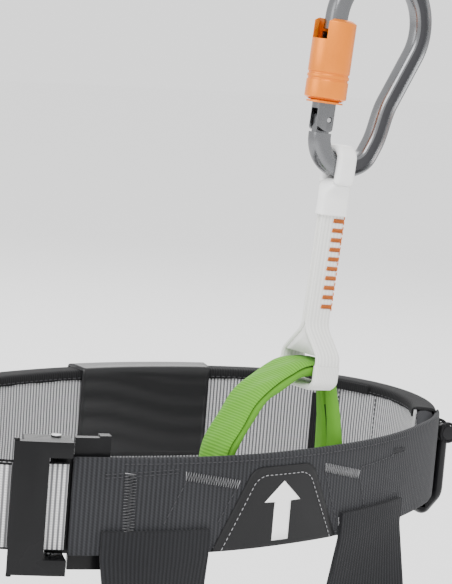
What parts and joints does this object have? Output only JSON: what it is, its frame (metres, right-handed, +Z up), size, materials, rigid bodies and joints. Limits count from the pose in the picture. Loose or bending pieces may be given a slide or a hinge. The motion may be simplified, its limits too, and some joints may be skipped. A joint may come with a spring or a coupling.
{
  "type": "tree climbing saddle",
  "caption": "Padded arborist waist saddle with mesh lining, folding green attachment loop, stitched sling, auto-lock carabiner and hanging leg loops.",
  "frame": {"origin": "centre of the waist opening at the belt's mid height", "axes": "+Z up out of the waist opening, -Y the wearer's front, +X the wearer's left"},
  "size_m": [0.4078, 0.2211, 0.513],
  "materials": {
    "dark_webbing": "matte ribbed webbing",
    "dark_cloth": "woven cloth",
    "mesh": "striped spacer mesh",
    "foam": "closed cell foam",
    "black_tape": "ribbed binding tape",
    "coated_cloth": "coated cloth, glossy",
    "white_print": "printed mark",
    "striped_webbing": "light and dark striped webbing",
    "black_plastic": "moulded plastic",
    "black_metal": "black anodised alloy",
    "green_cloth": "ribbed green webbing",
    "core_webbing": "webbing",
    "white_webbing": "white webbing",
    "orange_thread": "sewing thread",
    "white_rubber": "soft rubber",
    "forged_alloy": "satin",
    "orange_alloy": "orange anodised",
    "steel": "brushed"
  },
  "bodies": {
    "belt": {"front_panel": "dark_webbing", "waist_webbing": "dark_webbing", "riser_hanger_left": "dark_webbing", "riser_hanger_right": "dark_webbing", "belt_shell": "dark_cloth", "belt_lining": "mesh", "foam_left": "foam", "foam_back": "foam", "foam_right": "foam", "top_binding": "black_tape", "bottom_binding": "black_tape", "inner_strip_left": "black_tape", "inner_strip_right": "black_tape", "top_strip": "black_tape", "gear_tabs_left": "black_tape", "gear_tabs_right": "black_tape", "tail_keeper": "black_tape", "label_sleeve": "coated_cloth", "arrow_patch": "coated_cloth", "arrow_mark": "white_print", "waist_strap": "striped_webbing", "buckle_frame": "black_metal", "buckle_pin": "steel", "buckle_rivets": "steel", "loop_foot_left": "green_cloth", "loop_foot_right": "green_cloth"},
    "strap_end": {"strap_tail": "striped_webbing"},
    "lever": {"buckle_lever": "black_metal"},
    "gear_left": {"gear_loop_left": "black_plastic"},
    "gear_right": {"gear_loop_right": "black_plastic"},
    "loop": {"loop_cover": "green_cloth", "loop_core": "core_webbing"},
    "sling": {"sling_web": "white_webbing", "sling_tacks": "orange_thread", "sling_keeper": "white_rubber"},
    "carabiner": {"carabiner_body": "forged_alloy", "gate_pin": "steel"},
    "gate": {"gate": "forged_alloy", "gate_spring": "steel", "gate_plunger": "steel"},
    "carrier": {"sleeve_carrier": "steel"},
    "sleeve": {"lock_sleeve": "orange_alloy"},
    "leg_left": {"leg_lining_left": "mesh", "leg_pad_left": "foam", "leg_cover_left": "dark_cloth", "leg_binding_left": "black_tape", "leg_webbing_left": "dark_webbing", "leg_riser_left": "dark_webbing", "leg_buckle_left": "black_metal", "leg_elastic_left": "black_tape"},
    "leg_right": {"leg_lining_right": "mesh", "leg_pad_right": "foam", "leg_cover_right": "dark_cloth", "leg_binding_right": "black_tape", "leg_webbing_right": "dark_webbing", "leg_riser_right": "dark_webbing", "leg_buckle_right": "black_metal", "leg_elastic_right": "black_tape"}
  },
  "joints": [
    {"name": "loop_fold", "type": "hinge", "parent": "belt", "child": "loop", "pos_m": [0, -0.0879, 0.012], "axis": [-1, 0, 0], "range_deg": [0, 60]},
    {"name": "sling_swing", "type": "hinge", "parent": "loop", "child": "sling", "pos_m": [0.028, -0.0879, 0.0645], "axis": [1, 0, 0], "range_deg": [-11, 11]},
    {"name": "carabiner_swing", "type": "hinge", "parent": "sling", "child": "carabiner", "pos_m": [0.03652, -0.0879, 0.16969], "axis": [0.9973, 0, -0.0732], "range_deg": [-6, 6]},
    {"name": "gate_open", "type": "hinge", "parent": "carabiner", "child": "gate", "pos_m": [0.02278, -0.0879, 0.19426], "axis": [0, 1, 0], "range_deg": [0, 22], "stiffness_Nm_per_rad": 0.08, "springref_deg": -28.65},
    {"name": "sleeve_lift", "type": "slide", "parent": "gate", "child": "carrier", "axis": [0.0732, 0, 0.9973], "range_m": [0, 0.003], "stiffness_N_per_m": 60, "springref_m": -0.004},
    {"name": "sleeve_turn", "type": "hinge", "parent": "carrier", "child": "sleeve", "pos_m": [0.02278, -0.0879, 0.19426], "axis": [0.0732, 0, 0.9973], "range_deg": [-90, 0]},
    {"name": "lever_press", "type": "hinge", "parent": "belt", "child": "lever", "pos_m": [-0.11716, -0.07437, 0], "axis": [0, 0, 1], "range_deg": [0, 25], "stiffness_Nm_per_rad": 0.05, "springref_deg": -20.05},
    {"name": "strap_adjust", "type": "hinge", "parent": "belt", "child": "strap_end", "pos_m": [-0.095, 0, 0], "axis": [0, 0, 1], "range_deg": [-6, 0]},
    {"name": "gear_swing_left", "type": "hinge", "parent": "belt", "child": "gear_left", "pos_m": [0.17329, -0.0452, 0.01], "axis": [-0.2079, -0.9781, 0], "range_deg": [0, 70]},
    {"name": "gear_swing_right", "type": "hinge", "parent": "belt", "child": "gear_right", "pos_m": [-0.1849, 0.00945, 0.01], "axis": [-0.1822, 0.9833, 0], "range_deg": [0, 70]},
    {"name": "leg_swing_left", "type": "hinge", "parent": "belt", "child": "leg_left", "pos_m": [0, -0.10205, -0.066], "axis": [-1, 0, 0], "range_deg": [0, 25], "stiffness_Nm_per_rad": 1.2, "springref_deg": -28.65, "deforming": ["leg_elastic_left"]},
    {"name": "leg_swing_right", "type": "hinge", "parent": "belt", "child": "leg_right", "pos_m": [0, -0.10205, -0.066], "axis": [-1, 0, 0], "range_deg": [0, 25], "stiffness_Nm_per_rad": 1.2, "springref_deg": -28.65, "deforming": ["leg_elastic_right"]}
  ]
}
